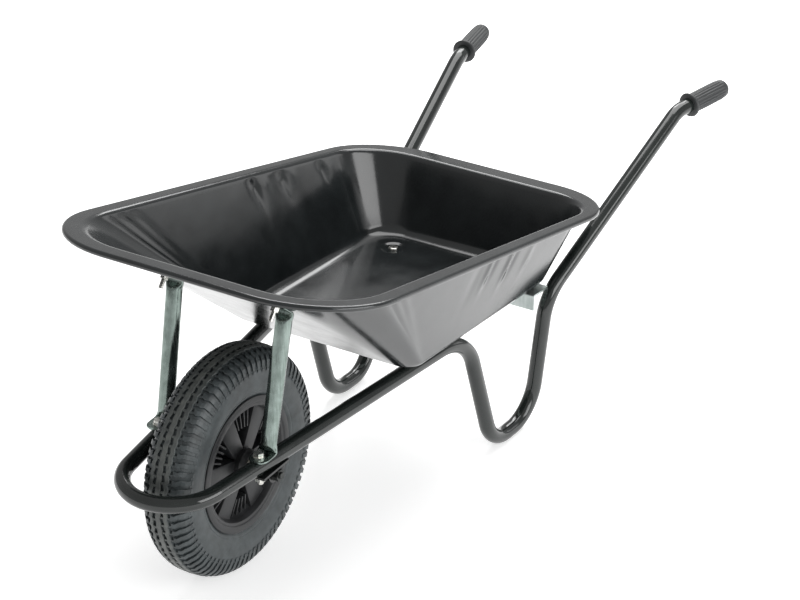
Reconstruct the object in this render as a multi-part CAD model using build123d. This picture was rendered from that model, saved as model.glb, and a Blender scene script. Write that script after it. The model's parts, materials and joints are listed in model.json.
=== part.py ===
from build123d import *
import math
import os

# Builder's wheelbarrow: black bent-tube frame, pressed steel tray, pneumatic front wheel.
# Millimetres, +Z up, wheel end toward -Y, handles toward +Y, symmetric about X = 0.
# The origin lies on the ground under the middle of the whole barrow.

# ---- driving dimensions -------------------------------------------------------------
AXLE_Y = -500.0          # wheel axle, along the barrow from the origin
AXLE_Z = 200.0           # wheel axle height, half of the tyre's outer diameter

TUBE_R = 14.0            # 28 mm frame tube
TUBE_WALL = 1.5

# The rails: straight, spreading and rising toward the rear (values per mm of Y).
RAIL_X0 = 107.6          # half spacing at the axle
RAIL_SPREAD = 0.132
RAIL_Z0 = 246.6          # tube centre height at the axle
RAIL_RISE = 0.058
HOOP_FRONT = -232.0      # tube centre of the front hoop, ahead of the axle
RAIL_REAR = 395.0        # where the rail meets the leg tube
HANDLE_START = 60.0      # length of the handle line that belongs to the leg tube

# Corners of the side tube behind the rail, relative to the axle: (x, y, z) and bend radius.
LEG_TOP_Y = 473.8        # corner above the front post, on the rail's own line
LEG_TOP_R = 92.0
LEG_FOOT_FRONT = (173.4, 559.6, TUBE_R)
LEG_FOOT_FRONT_R = 69.0
LEG_FOOT_REAR = (173.4, 698.9, TUBE_R)
LEG_FOOT_REAR_R = 69.0
LEG_HANDLE = (197.6, 705.8, 255.7)
LEG_HANDLE_R = 79.0
HANDLE_BEND = (239.0, 1107.5, 480.6)
HANDLE_BEND_R = 70.0
GRIP_TIP = (265.0, 1243.8, 486.2)

GRIP_LENGTH = 106.0
GRIP_R = 17.5
GRIP_FLANGE_R = 23.0
GRIP_FLANGE_T = 6.0

# Tray: sheet steel, floor and rim planes sloping down toward the rear.
SHEET = 1.5
FLOOR_Z = 286.0          # upper face of the floor at FLOOR_Y
FLOOR_Y = 405.0
FLOOR_SLOPE = -0.036
FLOOR_FRONT, FLOOR_REAR = 281.0, 750.0
FLOOR_HALF = 186.0
FLOOR_FRONT_R, FLOOR_REAR_R = 32.0, 60.0
FLOOR_FILLET = 26.0
RIM_Z = 473.0            # upper face of the rim flange at RIM_Y
RIM_Y = 500.0
RIM_SLOPE = -0.1992
MOUTH_FRONT, MOUTH_REAR = -97.0, 803.0
MOUTH_HALF_FRONT, MOUTH_HALF_REAR = 278.0, 250.0
MOUTH_FRONT_R, MOUTH_REAR_R = 135.0, 105.0
RIM_FRONT, RIM_REAR = -130.0, 848.0
RIM_HALF_FRONT, RIM_HALF_REAR = 308.5, 267.5
RIM_FRONT_R, RIM_REAR_R = 160.0, 138.0
BEAD_R = 5.5             # rolled edge round the flange

# Rear cross brace under the tray: an angle bar welded between the legs.
BRACE_Y = 692.0
BRACE_W = 50.0
BRACE_T = 4.0
BRACE_DROP = 30.0
BRACE_HALF = 194.0
FLOOR_BOLT_X = 120.0
DIMPLE_R = 24.0
DIMPLE_DEPTH = 3.0

# Stays from the rails up to the front wall of the tray.
STAY_R = 14.0
STAY_FOOT_Y = -33.0
STAY_TOP = (108.8, 11.5, 486.0)
STAY_FLAT_T = 4.0
STAY_FLAT_W = 36.0
STAY_FLATTENING = 22.0   # from each bend to the round tube
FOOT_BOLT_Y = -54.0
STAY_BOLT_Y = -8.0       # where the tray bolt of the stay pierces the front wall

# Axle and wheel.
AXLE_R = 6.0
AXLE_HALF = 108.0
RUN_CLEARANCE = 0.05     # radial, bush on axle
BRACKET_T = 4.0
BRACKET_X = 88.0         # inner face of the bracket's upright leaf
BUSH_FLANGE_X = 50.0     # outer face of the bush flange
SIDE_PLAY = 0.5
TYRE_R = 200.0
TYRE_HALF = 43.0
RIM_LIP_R = 120.0
SPOKES = 6
SPOKE_PHASE = -5.0       # degrees, first spoke from the rearward direction


def at(x, y, z):
    """A point given from the wheel axle line, as a vector in the barrow's frame."""
    return Vector(x, y + AXLE_Y, z)


def rail_x(y):
    return RAIL_X0 + RAIL_SPREAD * y


def rail_z(y):
    return RAIL_Z0 + RAIL_RISE * y


def rail_point(y, side=1):
    return at(side * rail_x(y), y, rail_z(y))


def rail_plane(y):
    """Plane on the tube centre at y, Z normal to the rail's slope, X across the barrow."""
    return Plane(
        origin=rail_point(y),
        x_dir=(1, 0, 0),
        z_dir=(0, -RAIL_RISE, 1),
    )


def tube(path, outer=TUBE_R, wall=TUBE_WALL):
    """A round tube along a path of straight runs and tangent arcs."""
    section = Circle(outer) - Circle(outer - wall)
    return sweep(Plane(origin=path @ 0, z_dir=path % 0) * section, path=path)


def hexagon(across_flats, height):
    """A hexagonal prism standing on the origin."""
    return extrude(RegularPolygon(across_flats / 2, 6, major_radius=False), height)


def bolt(diameter, shank, across_flats, head):
    """Hexagon head below Z = 0, shank rising along +Z."""
    body = hexagon(across_flats, head).moved(Location((0, 0, -head)))
    return body + extrude(Circle(diameter / 2), shank)


def nut(diameter, across_flats, height):
    """A nut that rests on Z = 0 and threads on a bolt along +Z."""
    return hexagon(across_flats, height) - extrude(Circle(diameter / 2), height)


def ring(outer, inner, height):
    return extrude(Circle(outer) - Circle(inner), height)


def sloped_plane(y, z, slope):
    return Plane(origin=at(0, y, z), x_dir=(1, 0, 0), z_dir=(0, -slope, 1))


def tray_outline(plane, y0, slope, front, rear, half_front, half_rear, r_front, r_rear):
    """A rounded trapezium on a sloped plane, its lengths given along level Y."""
    stretch = math.sqrt(1 + slope * slope)
    low, high = (front - y0) * stretch, (rear - y0) * stretch
    face = make_face(
        Polyline(
            (-half_front, low),
            (half_front, low),
            (half_rear, high),
            (-half_rear, high),
            close=True,
        )
    )
    front_corners = face.vertices().filter_by_position(Axis.Y, low - 1, low + 1)
    face = fillet(front_corners, r_front)
    rear_corners = face.vertices().filter_by_position(Axis.Y, high - 1, high + 1)
    face = fillet(rear_corners, r_rear)
    return plane * face


def both_sides(piece):
    """The piece of the +X side with its mirror image, as two solids of one node."""
    return Compound(children=list(piece.solids()) + list(mirror(piece, about=Plane.YZ).solids()))


# ---- frame --------------------------------------------------------------------------
def hoop_radius():
    lean = math.sqrt(1 + RAIL_SPREAD**2)
    return (RAIL_X0 + RAIL_SPREAD * HOOP_FRONT) / (lean - RAIL_SPREAD)


def front_tube():
    apex = -RAIL_X0 / RAIL_SPREAD
    path = FilletPolyline(
        rail_point(RAIL_REAR),
        at(0, apex, rail_z(apex)),
        rail_point(RAIL_REAR, -1),
        radius=hoop_radius(),
    )
    return tube(path)


def handle_joint():
    """The point where the leg tube ends and the handle tube begins."""
    start, end = at(*LEG_HANDLE), at(*HANDLE_BEND)
    return start + (end - start).normalized() * HANDLE_START


def leg_path():
    return FilletPolyline(
        rail_point(RAIL_REAR),
        rail_point(LEG_TOP_Y),
        at(*LEG_FOOT_FRONT),
        at(*LEG_FOOT_REAR),
        at(*LEG_HANDLE),
        handle_joint(),
        radius=[LEG_TOP_R, LEG_FOOT_FRONT_R, LEG_FOOT_REAR_R, LEG_HANDLE_R],
    )


def leg_tube():
    return tube(leg_path())


def grip_axis():
    return (at(*GRIP_TIP) - at(*HANDLE_BEND)).normalized()


def handle_tube():
    end = at(*GRIP_TIP) - grip_axis() * 10
    path = FilletPolyline(handle_joint(), at(*HANDLE_BEND), end, radius=HANDLE_BEND_R)
    return tube(path)


def grip():
    """Ribbed rubber sleeve with a hand guard, closed and rounded at its outer end."""
    base = at(*GRIP_TIP) - grip_axis() * GRIP_LENGTH
    frame = Plane(origin=base, z_dir=grip_axis(), x_dir=(1, 0, 0))
    sleeve = extrude(Circle(GRIP_R), GRIP_LENGTH)
    sleeve = fillet(sleeve.faces().sort_by(Axis.Z)[-1].edges(), 7)
    guard = extrude(Circle(GRIP_FLANGE_R), GRIP_FLANGE_T)
    guard = fillet(guard.edges(), 2)
    ribs = [
        Rot(0, 0, 18 * i) * Box(1.6, 2.2, 80).moved(Location((0, GRIP_R, 50)))
        for i in range(20)
    ]
    whole = sleeve + guard + ribs
    return frame * (whole - extrude(Circle(TUBE_R), GRIP_LENGTH - 10))


# ---- rear cross brace -----------------------------------------------------------------
def floor_z(y):
    """Height of the floor's upper face."""
    return FLOOR_Z + FLOOR_SLOPE * (y - FLOOR_Y)


def floor_plane_at_brace():
    """On the floor's upper face at the middle of the brace."""
    return sloped_plane(BRACE_Y, floor_z(BRACE_Y), FLOOR_SLOPE)


def brace_plane():
    """Level with the underside of the floor's dimples at the brace."""
    return floor_plane_at_brace().offset(-SHEET - DIMPLE_DEPTH)


def cross_brace():
    """Angle bar across the barrow: a leaf under the floor and a leaf hanging at its front edge."""
    length = 2 * BRACE_HALF
    leaf = Pos(0, 0, -BRACE_T / 2) * Box(length, BRACE_W, BRACE_T)
    web = Pos(0, (BRACE_T - BRACE_W) / 2, -BRACE_DROP / 2) * Box(length, BRACE_T, BRACE_DROP)
    bar = leaf + web
    bend = [e for e in bar.edges().filter_by(Axis.X) if e.center().Y < 1 - BRACE_W / 2 and e.center().Z > -1]
    bar = fillet(bend, 3)
    for side in (-1, 1):
        bar = bar - Pos(side * FLOOR_BOLT_X, 0, -20) * Cylinder(4.5, 60)
    path = leg_path()
    leg = sweep(Plane(origin=path @ 0, z_dir=path % 0) * Circle(TUBE_R), path=path)
    return brace_plane() * bar - leg - mirror(leg, about=Plane.YZ)


# ---- tray -----------------------------------------------------------------------------
def rim_z(y):
    """Height of the rim flange's upper face."""
    return RIM_Z + RIM_SLOPE * (y - RIM_Y)


def wall_growth(run, rise):
    """How far a sloping wall's outer face stands out, at the floor and at the mouth."""
    slope = math.atan2(rise, run)
    return SHEET * math.tan(slope / 2), SHEET / math.sin(slope)


def tray_shell(outside):
    """The tray's inner or outer surface as a closed solid."""
    drop, low, high = 0.0, (0.0, 0.0, 0.0), (0.0, 0.0, 0.0)
    if outside:
        front = wall_growth(FLOOR_FRONT - MOUTH_FRONT, rim_z(MOUTH_FRONT) - floor_z(FLOOR_FRONT))
        rear = wall_growth(MOUTH_REAR - FLOOR_REAR, rim_z(MOUTH_REAR) - floor_z(FLOOR_REAR))
        half = (MOUTH_HALF_FRONT + MOUTH_HALF_REAR) / 2
        side = wall_growth(half - FLOOR_HALF, rim_z(RIM_Y) - floor_z(RIM_Y))
        drop = SHEET
        low, high = zip(front, side, rear)
    floor = tray_outline(
        sloped_plane(FLOOR_Y, FLOOR_Z, FLOOR_SLOPE).offset(-drop), FLOOR_Y, FLOOR_SLOPE,
        FLOOR_FRONT - low[0], FLOOR_REAR + low[2], FLOOR_HALF + low[1], FLOOR_HALF + low[1],
        FLOOR_FRONT_R + low[1], FLOOR_REAR_R + low[1],
    )
    mouth = tray_outline(
        sloped_plane(RIM_Y, RIM_Z, RIM_SLOPE), RIM_Y, RIM_SLOPE,
        MOUTH_FRONT - high[0], MOUTH_REAR + high[2],
        MOUTH_HALF_FRONT + high[1], MOUTH_HALF_REAR + high[1],
        MOUTH_FRONT_R + high[1], MOUTH_REAR_R + high[1],
    )
    body = loft([floor, mouth], ruled=True)
    edges = body.faces().sort_by(Axis.Z)[0].edges()
    return fillet(edges, FLOOR_FILLET + drop)


def wall_normal():
    """Outward normal of the tray's sloping front wall."""
    low = at(0, FLOOR_FRONT, floor_z(FLOOR_FRONT))
    high = at(0, MOUTH_FRONT, RIM_Z + RIM_SLOPE * (MOUTH_FRONT - RIM_Y))
    along = (high - low).normalized()
    return Vector(0, -along.Z, along.Y), along, low


def stay_bolt_plane(side=1):
    """On the outer face of the front wall at the stay's bolt, Z pointing out of the tray."""
    normal, along, low = wall_normal()
    y = STAY_BOLT_Y + AXLE_Y
    point = low + along * ((y - low.Y) / along.Y)
    origin = Vector(side * STAY_TOP[0], point.Y, point.Z) + normal * SHEET
    return Plane(origin=origin, x_dir=(1, 0, 0), z_dir=normal)


def tray():
    outside = tray_shell(True)
    inside = tray_shell(False)
    rim_plane = sloped_plane(RIM_Y, RIM_Z, RIM_SLOPE)
    flange_face = tray_outline(
        rim_plane, RIM_Y, RIM_SLOPE,
        RIM_FRONT, RIM_REAR, RIM_HALF_FRONT, RIM_HALF_REAR, RIM_FRONT_R, RIM_REAR_R,
    )
    flange = extrude(flange_face, -SHEET)
    edge_plane = sloped_plane(RIM_Y, RIM_Z - BEAD_R, RIM_SLOPE)
    edge_face = tray_outline(
        edge_plane, RIM_Y, RIM_SLOPE,
        RIM_FRONT, RIM_REAR, RIM_HALF_FRONT, RIM_HALF_REAR, RIM_FRONT_R, RIM_REAR_R,
    )
    wire = edge_face.face().outer_wire()
    bead = sweep(Plane(origin=wire @ 0, z_dir=wire % 0) * Circle(BEAD_R), path=wire)
    shell = outside + flange + bead - inside
    for side in (-1, 1):
        spot = floor_plane_at_brace() * Pos(side * FLOOR_BOLT_X, 0, 0)
        outer = extrude(spot * Circle(DIMPLE_R + 0.6), -SHEET - DIMPLE_DEPTH, taper=40)
        inner = extrude(spot * Circle(DIMPLE_R), -DIMPLE_DEPTH, taper=40)
        shell = shell + outer - inner
        shell = shell - (spot * Cylinder(4.5, 30))
        shell = shell - (stay_bolt_plane(side) * Cylinder(4.5, 20))
    return shell


# ---- stays ------------------------------------------------------------------------------
def stay_strip(start, corner, end, radius):
    """The flattened end of a stay: a strip bent once, level across the barrow."""
    path = FilletPolyline(start, corner, end, radius=radius)
    frame = Plane(origin=path @ 0, x_dir=(1, 0, 0), z_dir=path % 0)
    return sweep(frame * Rectangle(STAY_FLAT_W, STAY_FLAT_T), path=path)


def stay_flattening(tube_end, direction, flat_end):
    """The stretch where the round tube runs out into the flat strip."""
    run = (flat_end - tube_end).normalized()
    first = Plane(origin=tube_end, x_dir=(1, 0, 0), z_dir=direction) * Ellipse(STAY_R - 0.1, STAY_R - 0.11)
    last = Plane(origin=flat_end, x_dir=(1, 0, 0), z_dir=run) * Ellipse(STAY_FLAT_W / 2, STAY_FLAT_T / 2)
    return loft([first, last])


def stay():
    """Tube with flattened ends: a foot on the rail and a tongue on the tray's front wall."""
    foot_top = TUBE_R + STAY_FLAT_T / 2
    bend = rail_plane(STAY_FOOT_Y).from_local_coords(Vector(0, 0, foot_top))
    toe = rail_plane(STAY_FOOT_Y - 38).from_local_coords(Vector(0, 0, foot_top))
    toe = Vector(bend.X, toe.Y, toe.Z)
    tongue = stay_bolt_plane()
    on_wall = tongue.from_local_coords(Vector(0, 0, STAY_FLAT_T / 2))
    axis = (at(*STAY_TOP) - bend).normalized()
    corner = bend + axis * ((on_wall - bend).dot(tongue.z_dir) / axis.dot(tongue.z_dir))
    along = Vector(0, tongue.z_dir.Z, -tongue.z_dir.Y)
    tip = Vector(corner.X, on_wall.Y, on_wall.Z) + along * 18
    upright = Vector(0, axis.Y, axis.Z).normalized()
    low_end = bend + axis * STAY_FLATTENING
    high_end = corner - axis * STAY_FLATTENING
    barrel = ring(STAY_R, STAY_R - TUBE_WALL, (high_end - low_end).length)
    whole = Plane(origin=low_end, z_dir=axis) * barrel
    whole = whole + stay_flattening(low_end, axis, bend + upright * 9)
    whole = whole + stay_strip(bend + upright * 12, bend, toe, 5)
    whole = whole + stay_flattening(high_end, axis, corner - upright * 9)
    whole = whole + stay_strip(corner - upright * 12, corner, tip, 6)
    whole = whole - (rail_plane(FOOT_BOLT_Y) * Pos(0, 0, 20) * Cylinder(5.5, 20))
    return whole - (tongue * Pos(0, 0, 2) * Cylinder(4.5, 16))


def front_tube_drilled():
    body = front_tube()
    for side in (-1, 1):
        hole = rail_plane(FOOT_BOLT_Y) * Cylinder(5.2, 40)
        body = body - (hole if side > 0 else mirror(hole, about=Plane.YZ))
    return body


# ---- axle brackets and fasteners ----------------------------------------------------------
def axle_bracket():
    """Angle bracket under the rail: a leaf bolted to the tube and an upright leaf for the axle."""
    base = rail_plane(0)
    x_in = BRACKET_X - rail_x(0)
    leaf = base * Pos(x_in + 15, -31, -TUBE_R - BRACKET_T / 2) * Box(30, 72, BRACKET_T)
    top = RAIL_Z0 - TUBE_R - 1
    outline = make_face(
        Polyline((-40, top - 2.6), (16, top + 0.6), (16, AXLE_Z), (-16, AXLE_Z), (-40, top - 12), close=True)
    )
    upright_plane = Plane(origin=at(BRACKET_X, 0, 0), x_dir=(0, 1, 0), z_dir=(1, 0, 0))
    upright = upright_plane * extrude(outline, BRACKET_T)
    boss = upright_plane * Pos(0, AXLE_Z, 0) * extrude(Circle(16), BRACKET_T)
    body = leaf + (upright + boss)
    body = body - (rail_plane(0) * Pos(0, 0, -TUBE_R + 25) * Box(200, 300, 50))
    body = body - (upright_plane * Pos(0, AXLE_Z, 0) * Cylinder(AXLE_R + 0.25, 60))
    return body - (rail_plane(FOOT_BOLT_Y) * Pos(0, 0, -20) * Cylinder(5.5, 20))


def foot_bolt():
    seat = TUBE_R + STAY_FLAT_T + 2
    body = bolt(10, seat + TUBE_R + BRACKET_T + 2 + 14, 16, 6.4)
    return rail_plane(FOOT_BOLT_Y) * Pos(0, 0, seat) * Rot(180, 0, 0) * body


def foot_washer():
    top = rail_plane(FOOT_BOLT_Y) * Pos(0, 0, TUBE_R + STAY_FLAT_T) * ring(10.5, 5.2, 2)
    low = rail_plane(FOOT_BOLT_Y) * Pos(0, 0, -TUBE_R - BRACKET_T - 2) * ring(10.5, 5.2, 2)
    return Compound(children=[top.solid(), low.solid()])


def foot_nut():
    return rail_plane(FOOT_BOLT_Y) * Pos(0, 0, -TUBE_R - BRACKET_T - 2) * Rot(180, 0, 0) * nut(10, 16, 8)


def stay_bolt():
    """Pan head inside the tray, nut outside on the stay's tongue."""
    seat = stay_bolt_plane() * Pos(0, 0, -SHEET)
    head = fillet(extrude(Circle(9), 4).faces().sort_by(Axis.Z)[-1].edges(), 2.5)
    shank = extrude(Circle(4), 30)
    return seat * (Rot(180, 0, 0) * head + shank)


def stay_washer():
    return stay_bolt_plane() * Pos(0, 0, STAY_FLAT_T) * ring(8, 4.2, 1.6)


def stay_nut():
    return stay_bolt_plane() * Pos(0, 0, STAY_FLAT_T + 1.6) * nut(8, 13, 6.5)


def floor_spot():
    """On the dimple's upper face, Z out of the floor."""
    return floor_plane_at_brace().offset(-DIMPLE_DEPTH) * Pos(FLOOR_BOLT_X, 0, 0)


def floor_bolt():
    head = fillet(extrude(Circle(9.5), 4.5).faces().sort_by(Axis.Z)[-1].edges(), 3)
    return floor_spot() * (head + extrude(Circle(4), -22))


def floor_washer():
    return floor_spot() * Pos(0, 0, -SHEET - BRACE_T - 1.6) * ring(8, 4.2, 1.6)


def floor_nut():
    return floor_spot() * Pos(0, 0, -SHEET - BRACE_T - 1.6) * Rot(180, 0, 0) * nut(8, 13, 6.5)


# ---- wheel ----------------------------------------------------------------------------------
def on_axle(piece):
    """From the wheel's own frame, axis along X through the origin, to the barrow."""
    return piece.moved(Location(at(0, 0, AXLE_Z)))


def turned(points):
    """Revolve a closed outline of (x, radius) points about the axle."""
    return revolve(make_face(Polyline(*points, close=True)), Axis.X, 360)


def turned_twice(points):
    """Revolve the outline of the +X half and join its mirror image to it."""
    half = turned(points)
    return half + mirror(half, about=Plane.YZ)


def axle():
    rod = Plane.YZ * extrude(Circle(AXLE_R), AXLE_HALF, both=True)
    return on_axle(chamfer(rod.edges(), 1))


def axle_spacer():
    start = BUSH_FLANGE_X + SIDE_PLAY
    return on_axle(Plane.YZ * Pos(0, 0, start) * ring(10, AXLE_R + 0.25, BRACKET_X - start))


def axle_washer():
    return on_axle(Plane.YZ * Pos(0, 0, BRACKET_X + BRACKET_T) * ring(12, AXLE_R + 0.25, 2))


def axle_nut():
    return on_axle(Plane.YZ * Pos(0, 0, BRACKET_X + BRACKET_T + 2) * nut(2 * AXLE_R, 19, 10))


def hub_bush():
    """Nylon bush pressed into the hub, with a flange against the spacer."""
    bore = AXLE_R + RUN_CLEARANCE
    body = turned([(20, bore), (BUSH_FLANGE_X, bore), (BUSH_FLANGE_X, 17), (46, 17), (46, 11), (20, 11)])
    return on_axle(body)


def rim():
    """Moulded rim: barrel with two lips, hub, closed web and flat-faced spokes on both sides."""
    outer = [(0, 91), (13, 91), (21, 104), (35, 104), (36, 118), (37.2, 120), (39.2, 118.5), (39.6, 108), (37.5, 101)]
    inner = [(28, 97.5), (22, 96.5), (14, 86), (0, 86)]
    barrel = turned_twice(outer + inner)
    hub = turned([(-46, 11), (46, 11), (46, 24), (40, 27), (-40, 27), (-46, 24)])
    web = turned([(-2, 20), (2, 20), (2, 88), (-2, 88)])
    body = barrel + hub + web
    spoke_face = make_face(Polyline((-14, 20), (14, 20), (19, 88), (-19, 88), close=True))
    # spoke outline lies in the wheel plane: local x along the rim, local y along the radius
    plane = Plane(origin=(0, 0, 0), x_dir=(0, 0, -1), z_dir=(1, 0, 0))
    spoke = plane * extrude(spoke_face, 27, both=True, taper=0)
    rib = plane * Pos(0, 82, 0) * extrude(Rectangle(2.4, 22), 25, both=True)
    for i in range(SPOKES):
        turn = SPOKE_PHASE + i * 360 / SPOKES
        body = body + Rot(turn, 0, 0) * spoke
        for offset in (-10, 10):
            body = body + Rot(turn + 180 / SPOKES + offset, 0, 0) * rib
    valve = Rot(SPOKE_PHASE + 180 / SPOKES, 0, 0) * (Pos(15, 94, 0) * Rot(90, 0, 0) * Cylinder(4.2, 30))
    return on_axle(body - valve)


def tyre():
    outer = [
        (24, 104.3), (34.6, 104.3), (35.6, 118.2), (36.6, 121.4), (38.6, 124), (41.4, 134),
        (TYRE_HALF, 150), (42.2, 166), (40.2, 177), (36.5, 187), (30, 193.5), (18, 198.3), (14.6, 198.9),
        (14.4, 195.5), (10.6, 195.5), (10.4, 199.4), (0, 200),
    ]
    inner = [(0, 192), (18, 190.5), (28, 186), (33, 177), (35.4, 160), (35, 142), (31, 122), (24, 108)]
    return on_axle(turned_twice(outer + inner))


def inner_tube():
    section = Ellipse(32, 40.5) - Ellipse(30, 38.5)
    return on_axle(revolve(Pos(0, 149.4) * section, Axis.X, 360))


def valve_frame():
    """Z points from the barrel toward the hub, in the bay between two spokes."""
    return Rot(SPOKE_PHASE + 180 / SPOKES, 0, 0) * Pos(15, 0, 0) * Rot(90, 0, 0)


def valve_stem():
    stem = extrude(Circle(4), 33) + extrude(Circle(7), 3)
    return on_axle(valve_frame() * Pos(0, 0, -109) * stem)


def valve_cap():
    cap = fillet(extrude(Circle(5), 12).faces().sort_by(Axis.Z)[-1].edges(), 1.5)
    return on_axle(valve_frame() * Pos(0, 0, -76) * cap)


def nodes():
    legs = leg_tube()
    handles = handle_tube()
    hand_grip = grip()
    strut = stay()
    bracket = axle_bracket()
    bush = hub_bush()
    return {
        "front_tube": front_tube_drilled(),
        "leg_tube_right": legs,
        "leg_tube_left": mirror(legs, about=Plane.YZ),
        "handle_tube_right": handles,
        "handle_tube_left": mirror(handles, about=Plane.YZ),
        "grip_right": hand_grip,
        "grip_left": mirror(hand_grip, about=Plane.YZ),
        "rear_cross_brace": cross_brace(),
        "tray": tray(),
        "stay_right": strut,
        "stay_left": mirror(strut, about=Plane.YZ),
        "stay_tray_bolts": both_sides(stay_bolt()),
        "stay_tray_washers": both_sides(stay_washer()),
        "stay_tray_nuts": both_sides(stay_nut()),
        "stay_foot_bolts": both_sides(foot_bolt()),
        "stay_foot_washers": both_sides(foot_washer()),
        "stay_foot_nuts": both_sides(foot_nut()),
        "tray_floor_bolts": both_sides(floor_bolt()),
        "tray_floor_washers": both_sides(floor_washer()),
        "tray_floor_nuts": both_sides(floor_nut()),
        "axle_bracket_right": bracket,
        "axle_bracket_left": mirror(bracket, about=Plane.YZ),
        "axle": axle(),
        "axle_spacers": both_sides(axle_spacer()),
        "axle_washers": both_sides(axle_washer()),
        "axle_nuts": both_sides(axle_nut()),
        "wheel_rim": rim(),
        "hub_bush_right": bush,
        "hub_bush_left": mirror(bush, about=Plane.YZ),
        "tyre": tyre(),
        "inner_tube": inner_tube(),
        "valve_stem": valve_stem(),
        "valve_cap": valve_cap(),
    }


os.makedirs("parts", exist_ok=True)
built = nodes()
for name, piece in built.items():
    export_step(piece, f"parts/{name}.step")
whole = Compound(children=[s for piece in built.values() for s in piece.solids()])
box = whole.bounding_box()
print("size", box.size, "min", box.min, "max", box.max)
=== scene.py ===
import json
import logging
import math
from dataclasses import dataclass, field, replace
from enum import Enum
from typing import Iterable, Optional

import bmesh
import bpy
from bmesh.types import BMEdge, BMesh, BMVert
from bpy.types import ID, Material, Node, NodeSocket, NodeTree, Object
from mathutils import Matrix, Vector


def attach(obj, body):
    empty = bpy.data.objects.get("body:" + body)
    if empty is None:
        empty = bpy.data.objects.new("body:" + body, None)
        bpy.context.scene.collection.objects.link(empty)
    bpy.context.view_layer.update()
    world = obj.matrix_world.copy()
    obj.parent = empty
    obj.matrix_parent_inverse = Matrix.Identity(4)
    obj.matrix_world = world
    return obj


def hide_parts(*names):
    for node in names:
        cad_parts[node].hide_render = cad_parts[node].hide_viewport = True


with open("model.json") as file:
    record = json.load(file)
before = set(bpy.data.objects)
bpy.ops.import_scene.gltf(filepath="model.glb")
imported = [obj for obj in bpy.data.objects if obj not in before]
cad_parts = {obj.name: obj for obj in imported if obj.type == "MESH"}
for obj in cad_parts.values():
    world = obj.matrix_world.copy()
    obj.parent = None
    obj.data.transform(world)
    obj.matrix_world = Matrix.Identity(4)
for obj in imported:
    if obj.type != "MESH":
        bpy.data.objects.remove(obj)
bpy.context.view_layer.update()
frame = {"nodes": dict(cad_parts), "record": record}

log = logging.getLogger("wheelbarrow")

MM = 0.001
AXLE = Vector((0.0, -0.5, 0.2))


class Side(Enum):
    """Which side of the barrow a piece is on; the value is the sign of its x."""

    LEFT = -1
    RIGHT = 1


# ---- small helpers --------------------------------------------------------------------
def srgb(code: str) -> tuple[float, float, float, float]:
    """Turns an sRGB hex colour to linear values.

    Args:
        code: six hex digits, such as "1a1c1c".

    Returns:
        The colour as linear red, green, blue and an alpha of 1.
    """
    parts = [int(code[i:i + 2], 16) / 255 for i in (0, 2, 4)]
    linear = [c / 12.92 if c <= 0.04045 else ((c + 0.055) / 1.055) ** 2.4 for c in parts]
    return (*linear, 1.0)


def add_node(
    tree: NodeTree,
    kind: str,
    settings: Optional[dict] = None,
    inputs: Optional[dict] = None,
) -> Node:
    """Adds a shader node with its settings and links.

    Args:
        tree: the material's node tree.
        kind: the node's type name without its "ShaderNode" prefix.
        settings: the node's own properties by name.
        inputs: a value or an output socket for each input, by name or number.

    Returns:
        The new node.
    """
    node = tree.nodes.new("ShaderNode" + kind)
    for name, value in (settings or {}).items():
        setattr(node, name, value)
    for key, value in (inputs or {}).items():
        socket = node.inputs[key]
        if isinstance(value, NodeSocket):
            tree.links.new(value, socket)
        else:
            socket.default_value = value
    return node


def ramp(tree: NodeTree, factor: NodeSocket, *stops: tuple[float, str]) -> NodeSocket:
    """Adds a colour ramp and returns its colour output.

    Args:
        tree: the material's node tree.
        factor: what drives the ramp.
        stops: (position, sRGB hex colour) pairs in rising order, two of them.

    Returns:
        The ramp's colour socket.
    """
    node = add_node(tree, "ValToRGB", inputs={"Fac": factor})
    for element, (position, colour) in zip(node.color_ramp.elements, stops):
        element.position = position
        element.color = srgb(colour)
    return node.outputs["Color"]


def noise(
    tree: NodeTree, coords: NodeSocket, size_mm: float, detail: float, **more: float
) -> NodeSocket:
    """Adds a noise with lumps about size_mm across and returns its value; more holds other inputs."""
    inputs = {"Vector": coords, "Scale": 1 / (size_mm * MM), "Detail": detail, **more}
    return add_node(tree, "TexNoise", inputs=inputs).outputs["Fac"]


def remap(
    tree: NodeTree, value: NodeSocket, old: tuple[float, float],
    new: tuple[float, float] = (0.0, 1.0),
) -> NodeSocket:
    """Maps a value from its old (low, high) to new ones, held at both ends."""
    return add_node(tree, "MapRange", inputs={
        "Value": value, "From Min": old[0], "From Max": old[1], "To Min": new[0], "To Max": new[1],
    }).outputs["Result"]


def bump(
    tree: NodeTree, height: NodeSocket, strength: float, depth_mm: float,
    **more: NodeSocket,
) -> NodeSocket:
    """Adds a bump of the given depth and returns its normal; more holds other inputs."""
    inputs = {"Height": height, "Strength": strength, "Distance": depth_mm * MM, **more}
    return add_node(tree, "Bump", inputs=inputs).outputs["Normal"]


def smooth_path(points: list[Vector], per_span: int) -> list[Vector]:
    """Runs a smooth open line through a few points.

    Args:
        points: the points that the line passes through.
        per_span: how many steps it takes from one point to the next.

    Returns:
        The line's points.
    """
    last = len(points) - 1
    line = []
    for i in range(last):
        a, b, c, d = (points[min(max(i + k, 0), last)] for k in (-1, 0, 1, 2))
        for step in range(per_span):
            t = step / per_span
            line.append(0.5 * (2 * b + (c - a) * t + (2 * a - 5 * b + 4 * c - d) * t * t
                               + (3 * b - a - 3 * c + d) * t ** 3))
    line.append(points[-1].copy())
    return line


def ring_of(bm: BMesh, points: Iterable[Vector]) -> list[BMVert]:
    """Lays a closed ring of edges through the points and returns its vertices in order."""
    verts = [bm.verts.new(p) for p in points]
    for a, b in zip(verts, verts[1:] + verts[:1]):
        bm.edges.new((a, b))
    return verts


def ring_edges(bm: BMesh, ring: list[BMVert]) -> list[BMEdge]:
    """The edges of a closed ring of vertices."""
    return [bm.edges.get((a, b)) for a, b in zip(ring, ring[1:] + ring[:1])]


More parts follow.
